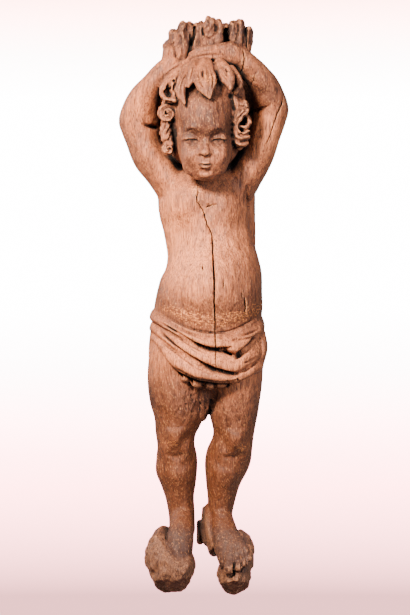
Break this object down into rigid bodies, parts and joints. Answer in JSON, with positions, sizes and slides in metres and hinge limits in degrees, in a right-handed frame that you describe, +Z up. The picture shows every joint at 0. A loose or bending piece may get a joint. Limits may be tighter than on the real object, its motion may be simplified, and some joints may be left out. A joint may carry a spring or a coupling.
{
  "type": "carved atlas figure",
  "caption": "Carved oak figure of a standing child who holds a broken leafy bundle on the head, with a loincloth and a flat back for a wall.",
  "frame": {"origin": "on the sawn flat back, behind the middle of the chest, where the figure is fixed to a wall", "axes": "+Z up along the figure, +Y out of the flat back into the wall, -Y out of the chest, +X to the viewer's right"},
  "size_m": [0.2622, 0.1845, 0.8842],
  "materials": {
    "oak": "aged waxed oak, hand carved, dusty in the hollows and worn on the high places"
  },
  "bodies": {
    "root": {"atlas_figure": "oak"}
  },
  "joints": []
}
